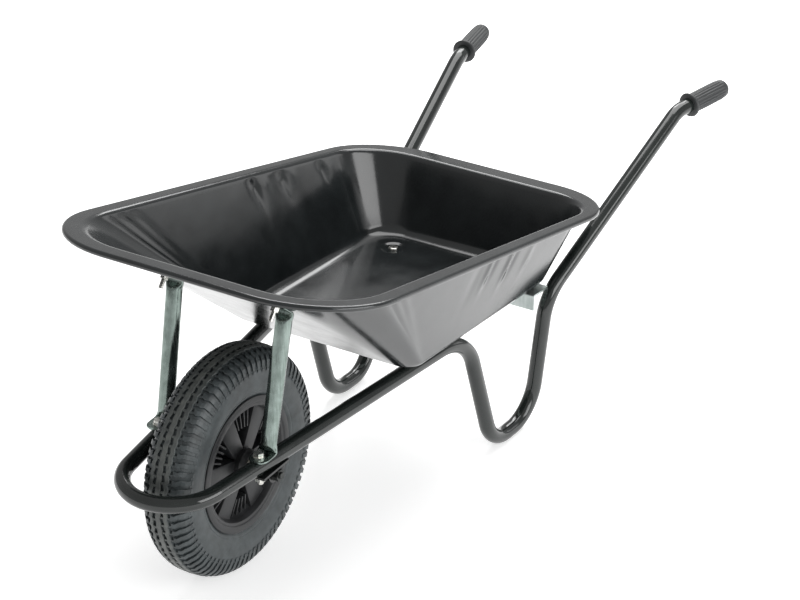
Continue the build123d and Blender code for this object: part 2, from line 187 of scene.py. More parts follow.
def grow(bm: BMesh, ring: list[BMVert], targets: list[Vector]) -> list[BMVert]:
    """Extrudes a closed ring once and moves the new ring onto its targets.

    Args:
        bm: the mesh being built.
        ring: the ring to extrude, in order.
        targets: where each new vertex goes, in the same order.

    Returns:
        The new ring's vertices, in the same order.
    """
    made = bmesh.ops.extrude_edge_only(bm, edges=ring_edges(bm, ring))
    fresh = {item for item in made["geom"] if isinstance(item, BMVert)}
    new_ring = []
    for vert, target in zip(ring, targets):
        twin = next(e.other_vert(vert) for e in vert.link_edges if e.other_vert(vert) in fresh)
        twin.co = target
        new_ring.append(twin)
    return new_ring


def loft(rings: Iterable[list[Vector]]) -> BMesh:
    """Runs a skin through rings with equal numbers of points and closes both ends.

    Args:
        rings: each ring's points, in metres.

    Returns:
        The closed mesh.
    """
    bm = bmesh.new()
    ring: list[BMVert] = []
    first: list[BMVert] = []
    for points in rings:
        ring = grow(bm, ring, points) if ring else ring_of(bm, points)
        first = first or ring
    for end in (ring, first):
        bmesh.ops.edgeloop_fill(bm, edges=ring_edges(bm, end))
    return bm


def join_mesh(bm: BMesh, part: BMesh) -> None:
    """Adds a part's mesh to another and frees it.

    Args:
        bm: the mesh that grows.
        part: the mesh that is added and freed.
    """
    mesh = bpy.data.meshes.new("part")
    part.to_mesh(mesh)
    part.free()
    bm.from_mesh(mesh)
    bpy.data.meshes.remove(mesh)


def spin_section(bm: BMesh, section: Iterable[tuple[float, float]], steps: int) -> None:
    """Spins one closed section once round the wheel's axis.

    Args:
        bm: the mesh being built, centred on the axle.
        section: the section's corners as (x, radius), in millimetres.
        steps: how many steps the full turn takes.
    """
    ring = ring_of(bm, [Vector((x * MM, 0, r * MM)) for x, r in section])
    bmesh.ops.spin(
        bm, geom=ring + ring_edges(bm, ring), cent=(0, 0, 0), axis=(1, 0, 0), angle=2 * math.pi,
        steps=steps, use_merge=True)


def finish_mesh(bm: BMesh, smooth: bool = True) -> None:
    """Merges doubles, turns every face outwards and shades it smooth or flat."""
    bmesh.ops.remove_doubles(bm, verts=bm.verts, dist=1e-6)
    bmesh.ops.recalc_face_normals(bm, faces=bm.faces)
    for face in bm.faces:
        face.smooth = smooth


def piece_from(bm: BMesh, name: str) -> Object:
    """Makes a scene object from a finished mesh and frees the mesh.

    Args:
        bm: the mesh, in the barrow's frame in metres.
        name: the piece's name.

    Returns:
        The new object, at the origin.
    """
    mesh = bpy.data.meshes.new(name)
    bm.to_mesh(mesh)
    bm.free()
    obj = bpy.data.objects.new(name, mesh)
    bpy.context.scene.collection.objects.link(obj)
    return obj


def sided_piece(bm: BMesh, name: str, side: Side) -> Object:
    """Turns a mesh made for the right side into one side's piece, named after that side."""
    bmesh.ops.scale(bm, vec=(side.value, 1, 1), verts=bm.verts)
    finish_mesh(bm)
    return piece_from(bm, f"{name}_{side.name.lower()}")


def place(obj: Object, body: str, material: Material, nodes: Iterable[str] = ()) -> Object:
    """Gives a finished piece its body and material, and hides the CAD nodes it stands for.

    Args:
        obj: the piece.
        body: the CAD body that it rides on.
        material: its finish.
        nodes: the CAD nodes that it replaces.

    Returns:
        The same object.
    """
    obj.data.materials.clear()
    obj.data.materials.append(material)
    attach(obj, body)
    if nodes:
        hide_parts(*nodes)
    log.info("%s rides on %s with %d faces", obj.name, body, len(obj.data.polygons))
    return obj


# ---- finishes ---------------------------------------------------------------------------
@dataclass(frozen=True)
class Finish:
    """What every finish shares: a name and the making of its material."""

    name: str

    def look(self, tree: NodeTree, coords: NodeSocket) -> dict:
        """The Principled shader's inputs, built in the tree over the Object coordinates."""
        raise NotImplementedError

    def build(self) -> Material:
        """Builds the material round its own look."""
        material = bpy.data.materials.new(self.name)
        material.use_nodes = True
        tree = material.node_tree
        tree.nodes.clear()
        coords = add_node(tree, "TexCoord").outputs["Object"]
        shader = add_node(tree, "BsdfPrincipled", inputs=self.look(tree, coords))
        add_node(tree, "OutputMaterial", inputs={"Surface": shader.outputs["BSDF"]})
        return material


@dataclass(frozen=True)
class Enamel(Finish):
    """Stoved black gloss enamel on steel: a hard clear gloss with faint orange peel."""

    colour: str = "0b0d0d"
    worn_colour: str = "141716"
    roughness: float = 0.2
    roughness_spread: float = 0.07
    cloud_mm: float = 55.0
    wave_mm: float = 90.0       # long waves of the pressed sheet or drawn tube
    wave_depth: float = 0.0
    peel_mm: float = 2.4        # orange peel, drawn a little coarser than real so that it shows
    peel_strength: float = 0.05
    peel_depth_mm: float = 0.05

    def look(self, tree: NodeTree, coords: NodeSocket) -> dict:
        """The enamel's shader inputs."""
        cloud = noise(tree, coords, self.cloud_mm, 4.0, Roughness=0.6)
        low, high = self.roughness - self.roughness_spread, self.roughness + self.roughness_spread
        peel = noise(tree, coords, self.peel_mm, 2.0)
        normal = bump(tree, peel, self.peel_strength, self.peel_depth_mm)
        if self.wave_depth:
            wave = noise(tree, coords, self.wave_mm, 1.0)
            normal = bump(tree, wave, 1.0, self.wave_depth, Normal=normal)
        return {
            "Base Color": ramp(tree, cloud, (0.35, self.colour), (0.7, self.worn_colour)),
            "Roughness": remap(tree, cloud, (0.3, 0.7), (low, high)),
            "IOR": 1.58, "Normal": normal}


@dataclass(frozen=True)
class Zinc(Finish):
    """Bright zinc plate on steel: pale metal with a faint green-grey cast and drawn streaks."""

    light: str = "bcc6c2"
    dark: str = "98a49f"
    roughness: float = 0.24
    cloud_mm: float = 18.0
    streak_mm: float = 2.5
    streak_length_mm: float = 60.0
    streak_depth_mm: float = 0.03

    def look(self, tree: NodeTree, coords: NodeSocket) -> dict:
        """The plated metal's shader inputs."""
        across = 1 / (self.streak_mm * MM)
        drawn = add_node(tree, "Mapping", inputs={
            "Vector": coords, "Scale": (across, across, 1 / (self.streak_length_mm * MM))})
        streaks = add_node(tree, "TexNoise", inputs={
            "Vector": drawn.outputs["Vector"], "Scale": 1.0, "Detail": 3.0}).outputs["Fac"]
        blend = add_node(tree, "Mix", {"data_type": "FLOAT"}, {
            0: 0.5, 2: streaks, 3: noise(tree, coords, self.cloud_mm, 3.0)})
        return {
            "Base Color": ramp(tree, blend.outputs[0], (0.35, self.dark), (0.62, self.light)),
            "Metallic": 1.0,
            "Roughness": remap(
                tree, streaks, (0.3, 0.7), (self.roughness - 0.06, self.roughness + 0.1)),
            "Normal": bump(tree, streaks, 0.12, self.streak_depth_mm)}


@dataclass(frozen=True)
class TyreRubber(Finish):
    """Cured tyre rubber: dull black, with pale mould dust on the crown of the tread."""

    colour: str = "282d2e"
    pale: str = "444b4d"
    dust: str = "6c6d67"
    roughness: float = 0.44
    cloud_mm: float = 22.0
    grain_mm: float = 1.6
    grain_depth_mm: float = 0.12
    dusty_from_mm: float = 196.0        # distance from the axle
    dusty_to_mm: float = 200.0

    def look(self, tree: NodeTree, coords: NodeSocket) -> dict:
        """The rubber's shader inputs."""
        centred = add_node(tree, "Mapping", inputs={"Vector": coords, "Location": -AXLE})
        split = add_node(tree, "SeparateXYZ", inputs={"Vector": centred.outputs["Vector"]})
        flat = add_node(tree, "CombineXYZ", inputs={"Y": split.outputs["Y"], "Z": split.outputs["Z"]})
        radius = add_node(tree, "VectorMath", {"operation": "LENGTH"}, {0: flat.outputs["Vector"]})
        cloud = noise(tree, coords, self.cloud_mm, 6.0, Roughness=0.65)
        worn = remap(tree, radius.outputs["Value"], (self.dusty_from_mm * MM, self.dusty_to_mm * MM))
        amount = add_node(tree, "Math", {"operation": "MULTIPLY"}, {
            0: worn, 1: remap(tree, cloud, (0.35, 0.65), (0.15, 0.6))})
        colour = add_node(tree, "Mix", {"data_type": "RGBA"}, {
            0: amount.outputs["Value"], 6: ramp(tree, cloud, (0.3, self.colour), (0.75, self.pale)),
            7: srgb(self.dust)})
        grain = noise(tree, coords, self.grain_mm, 3.0)
        return {
            "Base Color": colour.outputs[2], "Roughness": self.roughness, "IOR": 1.5,
            "Normal": bump(tree, grain, 0.35, self.grain_depth_mm)}


@dataclass(frozen=True)
class Moulded(Finish):
    """Moulded plastic or rubber with a fine spark-eroded grain."""

    colour: str = "101112"
    pale: str = "1a1b1c"
    roughness: float = 0.42
    cloud_mm: float = 30.0
    grain_mm: float = 0.9
    grain_strength: float = 0.25
    grain_depth_mm: float = 0.06

    def look(self, tree: NodeTree, coords: NodeSocket) -> dict:
        """The moulded surface's shader inputs."""
        cloud = noise(tree, coords, self.cloud_mm, 4.0)
        grain = noise(tree, coords, self.grain_mm, 2.0)
        return {
            "Base Color": ramp(tree, cloud, (0.3, self.colour), (0.7, self.pale)),
            "Roughness": remap(
                tree, cloud, (0.3, 0.7), (self.roughness - 0.05, self.roughness + 0.08)),
            "Normal": bump(tree, grain, self.grain_strength, self.grain_depth_mm)}


# ---- tray -------------------------------------------------------------------------------
@dataclass
class Outline:
    """A rounded trapezoid seen from above, lying on a plane that slopes along the barrow.

    Sizes are millimetres, with y counted from the wheel axle.
    """

    front: float
    rear: float
    half_front: float
    half_rear: float
    radius_front: float
    radius_rear: float
    level: float
    level_at: float
    slope: float

    def lifted(self, x: float, y: float) -> Vector:
        """The point above (x, y) on the outline's plane, in the barrow's frame in metres."""
        return Vector((x, y, self.level + self.slope * (y - self.level_at))) * MM + Vector((0, AXLE.y, 0))

    def points(self, per_corner: int, per_side: tuple[int, int]) -> list[Vector]:
        """Walks round the outline.

        Args:
            per_corner: steps in each corner's arc.
            per_side: steps along the long sides and along the front and rear.

        Returns:
            The points, in the barrow's frame in metres.
        """
        corners = [
            (Vector((self.half_front, self.front)), self.radius_front),
            (Vector((self.half_rear, self.rear)), self.radius_rear),
            (Vector((-self.half_rear, self.rear)), self.radius_rear),
            (Vector((-self.half_front, self.front)), self.radius_front),
        ]
        arcs = []
        for i, (corner, radius) in enumerate(corners):
            back = (corners[i - 1][0] - corner).normalized()
            ahead = (corners[(i + 1) % 4][0] - corner).normalized()
            half = back.angle(ahead) / 2
            centre = corner + (back + ahead).normalized() * (radius / math.sin(half))
            first = corner + back * (radius / math.tan(half)) - centre
            turn = math.pi - 2 * half
            arc = []
            for step in range(per_corner + 1):
                angle = turn * step / per_corner
                arc.append(centre + Vector((
                    first.x * math.cos(angle) - first.y * math.sin(angle),
                    first.x * math.sin(angle) + first.y * math.cos(angle))))
            arcs.append(arc)
        flat = []
        for i, arc in enumerate(arcs):
            flat += arc
            start, end = arc[-1], arcs[(i + 1) % 4][0]
            steps = per_side[i % 2]
            flat += [start.lerp(end, k / steps) for k in range(1, steps)]
        return [self.lifted(p.x, p.y) for p in flat]


@dataclass
class Crease:
    """One shallow press mark in the wall, long down the wall and narrow along it, in millimetres."""

    x: float
    y: float
    z: float
    length: float
    width: float
    depth: float                # positive presses the wall outwards
    lean: float = 0.0           # how far it runs rearwards for each millimetre up


@dataclass
class Tray:
    """The pressed sheet-steel tray with its flange, rolled edge, fillets and bolt dimples."""

    sheet: float = 1.4
    floor: Outline = field(default_factory=lambda: Outline(281, 750, 186, 186, 32, 60, 286, 405, -0.036))
    mouth: Outline = field(default_factory=lambda: Outline(-97, 803, 278, 250, 135, 105, 473, 500, -0.1992))
    rim: Outline = field(default_factory=lambda: Outline(
        -130, 848, 308.5, 267.5, 160, 138, 473, 500, -0.1992))
    per_corner: int = 14
    per_side: tuple[int, int] = (200, 26)
    floor_inset: float = 22.0
    least_radius: float = 9.0
    floor_fillet: float = 15.0
    mouth_fillet: float = 7.0
    bead_radius: float = 5.5
    bead_turn: float = 235.0
    bead_steps: int = 12
    floor_fillet_steps: int = 8
    mouth_fillet_steps: int = 6
    wall_cuts: int = 36
    wall_rise: float = 60.0             # an edge that climbs more than this runs up a wall
    floor_below: float = 330.0          # every open edge under this height belongs to the floor
    wall_lean: float = 0.42             # how far a side wall leans out for its height
    wall_margin: float = 12.0
    crease_x: float = 180.0             # creases stay outside this and above crease_z
    crease_z: float = 300.0
    fold_top_y: float = 45.0            # where the corner fold meets the mouth
    fold_top_z: float = 555.0
    fold_foot_y: float = 305.0          # where it meets the floor
    fold_foot_z: float = 284.0
    corner_folds: tuple = ((0.0, 6.0, -3.0), (30.0, 9.0, -1.6), (58.0, 11.0, -1.2))  # (behind, width, depth)
    mouth_clear: float = 6.0            # creases are gone this far under the mouth
    mouth_fade: float = 18.0            # and reach their full depth over this much more
    dimple_x: float = 120.0
    dimple_y: float = 692.0
    dimple_points: int = 32

    def creases(self) -> list[Crease]:
        """The press marks near the top of both side walls, toward the rear."""
        far = (
            (440, 482, 46, 11, 3.6), (474, 476, 40, 11, -1.3), (522, 470, 44, 13, 3.2),
            (556, 468, 36, 11, -1.1), (642, 446, 46, 10, 2.8), (668, 444, 42, 10, -0.9))
        near = (
            (425, 438, 34, 7, 2.6), (441, 442, 34, 8, -1.9), (496, 418, 34, 7, 2.6),
            (513, 421, 34, 8, -1.9), (570, 398, 30, 10, 1.3), (385, 440, 40, 14, -0.9))
        marks = [Crease(-255, y, z, length, width, depth, -0.15) for y, z, length, width, depth in far]
        marks += [Crease(255, y, z, length, width, depth, 0.1) for y, z, length, width, depth in near]
        return marks

    def outward(self, ring: list[Vector]) -> list[Vector]:
        """The level outward direction at each point of a ring that runs anticlockwise from above."""
        count = len(ring)
        directions = []
        for i in range(count):
            along = ring[(i + 1) % count] - ring[i - 1]
            directions.append(Vector((along.y, -along.x, 0)).normalized())
        return directions

    def dimple_rings(self, bm: BMesh, side: int) -> list[BMEdge]:
        """Presses one bolt dimple and returns the ring of edges where it meets the floor.

        Args:
            bm: the tray's mesh.
            side: 1 or -1, for the right or left dimple.

        Returns:
            The edges of the outermost ring.
        """
        profile = [(27, 0), (25, -0.15), (23, -0.8), (20.5, -2.2), (18.5, -2.85), (16.5, -3.0), (4.5, -3.0)]
        rings = []
        ring: list[BMVert] = []
        for radius, drop in profile:
            points = []
            for i in range(self.dimple_points):
                angle = 2 * math.pi * i / self.dimple_points
                point = self.floor.lifted(
                    side * self.dimple_x + radius * math.cos(angle),
                    self.dimple_y + radius * math.sin(angle))
                points.append(point + Vector((0, 0, drop * MM)))
            ring = grow(bm, ring, points) if ring else ring_of(bm, points)
            rings.append(ring)
        return ring_edges(bm, rings[0])

    def build(self, finish: Material) -> Object:
        """Builds the tray.

        Args:
            finish: the enamel.

        Returns:
            The finished piece.
        """
        bm = bmesh.new()
        count = (self.per_corner, self.per_side)
        base, inset = self.floor, self.floor_inset
        inner = replace(
            base, front=base.front + inset, rear=base.rear - inset,
            half_front=base.half_front - inset, half_rear=base.half_rear - inset,
            radius_front=max(base.radius_front - inset, self.least_radius),
            radius_rear=max(base.radius_rear - inset, self.least_radius))
        middle = ring_of(bm, inner.points(*count))
        floor = grow(bm, middle, self.floor.points(*count))
        mouth = grow(bm, floor, self.mouth.points(*count))
        rim_points = self.rim.points(*count)
        rim = grow(bm, mouth, rim_points)
        out = self.outward(rim_points)
        ring = rim
        for step in range(1, self.bead_steps + 1):
            angle = math.radians(self.bead_turn) * step / self.bead_steps
            shift, drop = self.bead_radius * math.sin(angle), self.bead_radius * (1 - math.cos(angle))
            targets = [p + d * shift * MM - Vector((0, 0, drop * MM)) for p, d in zip(rim_points, out)]
            ring = grow(bm, ring, targets)
        fillets = (
            (floor, self.floor_fillet, self.floor_fillet_steps),
            (mouth, self.mouth_fillet, self.mouth_fillet_steps))
        for edge, fillet, steps in fillets:
            bmesh.ops.bevel(
                bm, geom=ring_edges(bm, edge), offset=fillet * MM, offset_type="OFFSET",
                affect="EDGES", segments=steps, profile=0.5, material=-1, clamp_overlap=False,
                loop_slide=True)
        walls = [e for e in bm.edges if abs(e.verts[0].co.z - e.verts[1].co.z) > self.wall_rise * MM]
        bmesh.ops.subdivide_edges(bm, edges=walls, cuts=self.wall_cuts, use_grid_fill=True)
        rim_of_floor = [e for e in bm.edges if e.is_boundary and e.verts[0].co.z < self.floor_below * MM]
        hole = [e for side in Side for e in self.dimple_rings(bm, side.value)]
        bmesh.ops.triangle_fill(
            bm, use_beauty=True, use_dissolve=False, edges=rim_of_floor + hole, normal=(0, 0, 1))
        self.press_creases(bm)
        finish_mesh(bm)
        if sum(f.normal.z for f in bm.faces) < 0:
            bmesh.ops.reverse_faces(bm, faces=bm.faces)
        tray = piece_from(bm, "tray_pressing")
        skin = tray.modifiers.new("sheet_thickness", "SOLIDIFY")
        skin.thickness = self.sheet * MM
        skin.offset = -1.0
        skin.use_even_offset = True
        shade = tray.modifiers.new("flat_panels_stay_flat", "WEIGHTED_NORMAL")
        shade.keep_sharp = True
        return place(tray, "frame", finish, ["tray"])

    def press_creases(self, bm: BMesh) -> None:
        """Moves wall vertices into the shallow press marks and the folds beside the front corners."""
        marks = self.creases()
        for vert in bm.verts:
            x, y, z = vert.co.x / MM, (vert.co.y - AXLE.y) / MM, vert.co.z / MM
            wall_x = self.floor.half_front + (z - self.floor.level) * self.wall_lean
            if abs(x) < self.crease_x or z < self.crease_z or abs(x) > wall_x + self.wall_margin:
                continue
            side = 1 if x > 0 else -1
            shift = 0.0
            for mark in marks:
                if mark.x * side < 0:
                    continue
                down = z - mark.z
                along = y - mark.y - down * mark.lean
                shift += mark.depth * math.exp(-(along / mark.width) ** 2 - (down / mark.length) ** 2)
            height = min(max((z - self.fold_foot_z) / (self.fold_top_z - self.fold_foot_z), 0.0), 1.0)
            fold = self.fold_foot_y + (self.fold_top_y - self.fold_foot_y) * height
            for offset, width, depth in self.corner_folds:
                along = y - fold - offset * height
                shift -= depth * math.sqrt(height) * math.exp(-(along / width) ** 2)
            below_mouth = self.mouth.level + self.mouth.slope * (y - self.mouth.level_at) - z
            fade = min(max((below_mouth - self.mouth_clear) / self.mouth_fade, 0.0), 1.0)
            vert.co.x += side * shift * fade * MM


# ---- wheel ------------------------------------------------------------------------------
@dataclass
class Tyre:
    """The pneumatic tyre: a spun carcass and separate tread blocks round its crown."""

    radius: float = 200.0
    pitches: int = 80
    steps: int = 144
    lug_gap: float = 5.0
    block_depth: float = 5.6
    block_bevel: float = 0.6
    rib_depth: float = 5.5
    rib_slope: float = 0.7
    rib_edge: float = 0.8
    ribs: tuple = ((-4.8, 4.8, 0.7), (10.6, 18.2, 1.1), (-18.2, -10.6, 1.1))    # (low, high, kink)

    def crown(self, x: float) -> float:
        """The tread surface's radius at a distance from the middle, in millimetres."""
        line = (
            (0, 200), (8, 199.8), (16, 198.9), (22, 197.3), (28, 194.6), (33, 191.0), (37, 186.6),
            (40, 181.0), (41.8, 174.5), (42.6, 168))
        x = abs(x)
        for (x0, r0), (x1, r1) in zip(line, line[1:]):
            if x <= x1:
                return r0 + (r1 - r0) * (x - x0) / (x1 - x0)
        return line[-1][1]

    def carcass_profile(self) -> list[Vector]:
        """Half of the outer section from the bead to the crown, as (x, radius), in millimetres."""
        points = [
            (24, 105), (33.6, 105.2), (35.2, 112), (35.4, 117.6), (36.2, 121.0), (37.8, 123.2),
            (38.9, 125.6), (39.2, 127.6), (38.9, 128.6), (39.6, 129.8), (40.8, 134), (42.2, 141),
            (42.9, 149), (42.8, 157), (42.0, 164), (41.4, 167.4), (42.0, 168.4), (41.6, 170.2),
            (40.4, 171.2), (38.8, 176.0), (35.6, 181.8), (31.4, 186.6), (26, 190.4), (18, 193.6),
            (9, 195.0), (0, 195.3),
        ]
        return [Vector((x, r, 0)) for x, r in points]

    def carcass(self) -> BMesh:
        """Spins the carcass's closed section round the axle."""
        half = smooth_path(self.carcass_profile(), 3)
        inner = [Vector((x, r, 0)) for x, r in (
            (0, 190), (18, 188.5), (28, 184), (33, 175), (35.4, 158), (35, 140), (31, 122), (24, 110))]
        section = half + [Vector((-p.x, p.y, 0)) for p in reversed(half[:-1])]
        section += [Vector((-p.x, p.y, 0)) for p in reversed(inner)] + inner[1:]
        bm = bmesh.new()
        spin_section(bm, [(p.x, p.y) for p in section], self.steps)
        return bm

    def rib(self, bm: BMesh, low: float, high: float, kink: float) -> None:
        """Adds one unbroken rib whose edges run in a shallow zigzag.

        Args:
            bm: the tread's mesh.
            low: the rib's edge nearer the -X side, in millimetres.
            high: its other edge.
            kink: how far the edges swing to either side.
        """
        one = bmesh.new()
        middle = (low + high) / 2
        slope, edge, depth = self.rib_slope, self.rib_edge, self.rib_depth
        section = [
            (low - slope, -depth), (low, -slope), (low + edge, 0), (middle, 0), (high - edge, 0),
            (high, -slope), (high + slope, -depth)]
        spin_section(one, [(x, self.crown(x) + h) for x, h in section], 2 * self.pitches)
        for vert in one.verts:
            turn = math.atan2(vert.co.y, vert.co.z) / math.pi * self.pitches
            vert.co.x += kink * MM * (1 if round(turn) % 2 else -1)
        join_mesh(bm, one)

    def block(self, bm: BMesh, outline: list[tuple[float, float]], cuts: int, top: float) -> None:
        """Adds one tread block.

        Args:
            bm: the pitch's mesh; x is across the tyre, y along it, z the height under the crown.
            outline: the block's corners as (across, along), in millimetres.
            cuts: how often it is cut across so that it follows the crown.
            top: how far its top lies under the crown, in millimetres.
        """
        part = bmesh.new()
        verts = [part.verts.new((x * MM, y * MM, -top * MM)) for x, y in outline]
        face = part.faces.new(verts)
        made = bmesh.ops.extrude_face_region(part, geom=[face])
        lifted = [g for g in made["geom"] if isinstance(g, BMVert)]
        bmesh.ops.translate(part, verts=verts, vec=(0, 0, -self.block_depth * MM))
        bmesh.ops.recalc_face_normals(part, faces=part.faces)
        edges = {e for v in lifted for e in v.link_edges if all(w in lifted for w in e.verts)}
        bmesh.ops.bevel(
            part, geom=list(edges), offset=self.block_bevel * MM, offset_type="OFFSET", affect="EDGES",
            segments=1, profile=0.5, material=-1)
        low = min(x for x, _ in outline)
        high = max(x for x, _ in outline)
        for k in range(1, cuts + 1):
            at = (low + (high - low) * k / (cuts + 1)) * MM
            bmesh.ops.bisect_plane(
                part, geom=part.verts[:] + part.edges[:] + part.faces[:], plane_co=(at, 0, 0),
                plane_no=(1, 0, 0))
        join_mesh(bm, part)

    def tread(self) -> BMesh:
        """Builds one pitch of the tread, repeats it round the tyre and adds the unbroken ribs."""
        pitch = 2 * math.pi * self.radius / self.pitches
        half = pitch / 2
        lug_end = pitch - self.lug_gap
        one = bmesh.new()
        for side in Side:
            right = side is Side.RIGHT
            lead = 0 if right else half
            bridge = [(4.8, 0), (11.0, 0.6), (11.0, 5.2), (4.8, 4.6)]
            outer_bridge = [(17.8, 1.0), (23.6, 1.4), (23.6, 5.8), (17.8, 5.4)]
            lug = [
                (23.0, 2.6), (28.0, 0.6), (33.5, 3.8), (43.2, 2.4), (43.2, lug_end + 0.6),
                (33.5, lug_end + 2.2), (28.0, lug_end - 1.0), (23.0, lug_end + 1.0)]
            for outline, cuts, top in ((bridge, 0, 0.9), (outer_bridge, 0, 1.2), (lug, 5, 0.0)):
                placed = [(side.value * x, y + lead) for x, y in outline]
                self.block(one, placed if right else placed[::-1], cuts, top)
        for vert in one.verts:
            across, along, height = vert.co / MM
            radius = self.crown(across) + height
            angle = along / self.radius
            vert.co = Vector((across, radius * math.sin(angle), radius * math.cos(angle))) * MM
        bmesh.ops.spin(
            one, geom=one.verts[:] + one.edges[:] + one.faces[:], cent=(0, 0, 0), axis=(1, 0, 0),
            angle=2 * math.pi * (self.pitches - 1) / self.pitches, steps=self.pitches - 1,
            use_duplicate=True)
        for low, high, kink in self.ribs:
            self.rib(one, low, high, kink)
        return one

    def build(self, finish: Material) -> None:
        """Builds the carcass and the tread as two pieces of one tyre."""
        pieces = (
            ("tyre_carcass", self.carcass(), ["tyre"], True), ("tyre_tread", self.tread(), [], False))
        for name, bm, nodes, smooth in pieces:
            bmesh.ops.translate(bm, verts=bm.verts, vec=AXLE)
            finish_mesh(bm, smooth)
            place(piece_from(bm, name), "wheel", finish, nodes)


@dataclass
class Rim:
    """The moulded rim: barrel and lips, hub, closed web, flat-faced spokes and thin stiffening ribs."""

    spokes: int = 6
    first_spoke: float = -5.0
    spoke_hub_half: float = 13.0
    spoke_end_half: float = 20.5
    spoke_from: float = 22.0
    spoke_to: float = 98.5
    spoke_depth: float = 29.0
    spoke_bevel: float = 1.8
    spoke_dish: float = 2.5
    ribs_per_bay: int = 4
    rib_pitch: float = 7.4              # degrees
    rib_half: float = 1.5
    rib_from: float = 64.0
    rib_to: float = 99.0
    rib_depth: float = 27.0
    rib_bevel: float = 0.5
    rib_dish: float = 5.0
    crisp_angle: float = 38.0
    steps: int = 120

    def spun(self, bm: BMesh, section: list[tuple[float, float]]) -> None:
        """Spins one closed section, as (x, radius) in millimetres, round the axle and adds it."""
        part = bmesh.new()
        spin_section(part, section, self.steps)
        finish_mesh(part)
        join_mesh(bm, part)

    def bar(
        self, bm: BMesh, outline: list[tuple[float, float]], half_depth: float, bevel: float,
        angles: list[float], dish: float,
    ) -> None:
        """Adds a flat bar through the wheel, repeated at several angles.

        Args:
            bm: the rim's mesh.
            outline: its corners as (across the radius, along the radius), in millimetres.
            half_depth: half its depth along the axle.
            bevel: the rounding of its edges.
            angles: where the copies stand, in degrees from the rearward direction.
            dish: how much nearer the middle its outer end lies.
        """
        part = bmesh.new()
        face = part.faces.new([part.verts.new((-half_depth * MM, y * MM, z * MM)) for y, z in outline])
        made = bmesh.ops.extrude_face_region(part, geom=[face])
        lifted = [g for g in made["geom"] if isinstance(g, BMVert)]
        bmesh.ops.translate(part, verts=lifted, vec=(2 * half_depth * MM, 0, 0))
        bmesh.ops.recalc_face_normals(part, faces=part.faces)
        bmesh.ops.bevel(
            part, geom=part.edges[:], offset=bevel * MM, offset_type="OFFSET", affect="EDGES", segments=2,
            profile=0.5, material=-1)
        low, high = min(z for _, z in outline), max(z for _, z in outline)
        for vert in part.verts:
            share = (vert.co.z / MM - low) / (high - low)
            vert.co.x -= math.copysign(dish * share * MM, vert.co.x)
        base = bpy.data.meshes.new("bar")
        part.to_mesh(base)
        part.free()
        for angle in angles:
            turned = bmesh.new()
            turned.from_mesh(base)
            bmesh.ops.rotate(
                turned, verts=turned.verts, cent=(0, 0, 0),
                matrix=Matrix.Rotation(math.radians(angle - 90), 3, "X"))
            join_mesh(bm, turned)
        bpy.data.meshes.remove(base)

    def build(self, finish: Material) -> None:
        """Builds the rim as one moulded piece."""
        bm = bmesh.new()
        barrel = [
            (13, 91), (18, 99), (21, 104), (34, 104), (35.4, 110), (35.6, 117), (36.4, 119.6),
            (37.6, 120), (38.8, 119), (39.4, 116), (39.4, 109.5), (38.8, 107.8), (37.2, 106.6),
            (36.2, 101.6), (35, 100.6), (27, 97.6), (22, 96), (14, 86)]
        section = barrel + [(-x, r) for x, r in reversed(barrel)]
        self.spun(bm, section)
        hub = [(6.3, 46), (22, 46), (24, 44), (25, 40), (27, 38)]
        self.spun(bm, [(x, r) for r, x in hub] + [(-x, r) for r, x in reversed(hub)])
        self.spun(bm, [(2, 20), (2, 90), (-2, 90), (-2, 20)])
        bay = 360 / self.spokes
        centres = [self.first_spoke + bay * i for i in range(self.spokes)]
        foot, end = self.spoke_hub_half, self.spoke_end_half
        spoke = [
            (-foot, self.spoke_from), (foot, self.spoke_from),
            (end, self.spoke_to), (-end, self.spoke_to)]
        self.bar(bm, spoke, self.spoke_depth, self.spoke_bevel, centres, self.spoke_dish)
        spread = [(k - (self.ribs_per_bay - 1) / 2) * self.rib_pitch for k in range(self.ribs_per_bay)]
        stands = [c + bay / 2 + s for c in centres for s in spread]
        half = self.rib_half
        rib = [(-half, self.rib_from), (half, self.rib_from), (half, self.rib_to), (-half, self.rib_to)]
        self.bar(bm, rib, self.rib_depth, self.rib_bevel, stands, self.rib_dish)
        bmesh.ops.translate(bm, verts=bm.verts, vec=AXLE)
        for face in bm.faces:
            face.smooth = True
        rim = piece_from(bm, "moulded_rim")
        rim.data.set_sharp_from_angle(angle=math.radians(self.crisp_angle))
        place(rim, "wheel", finish, ["wheel_rim"])


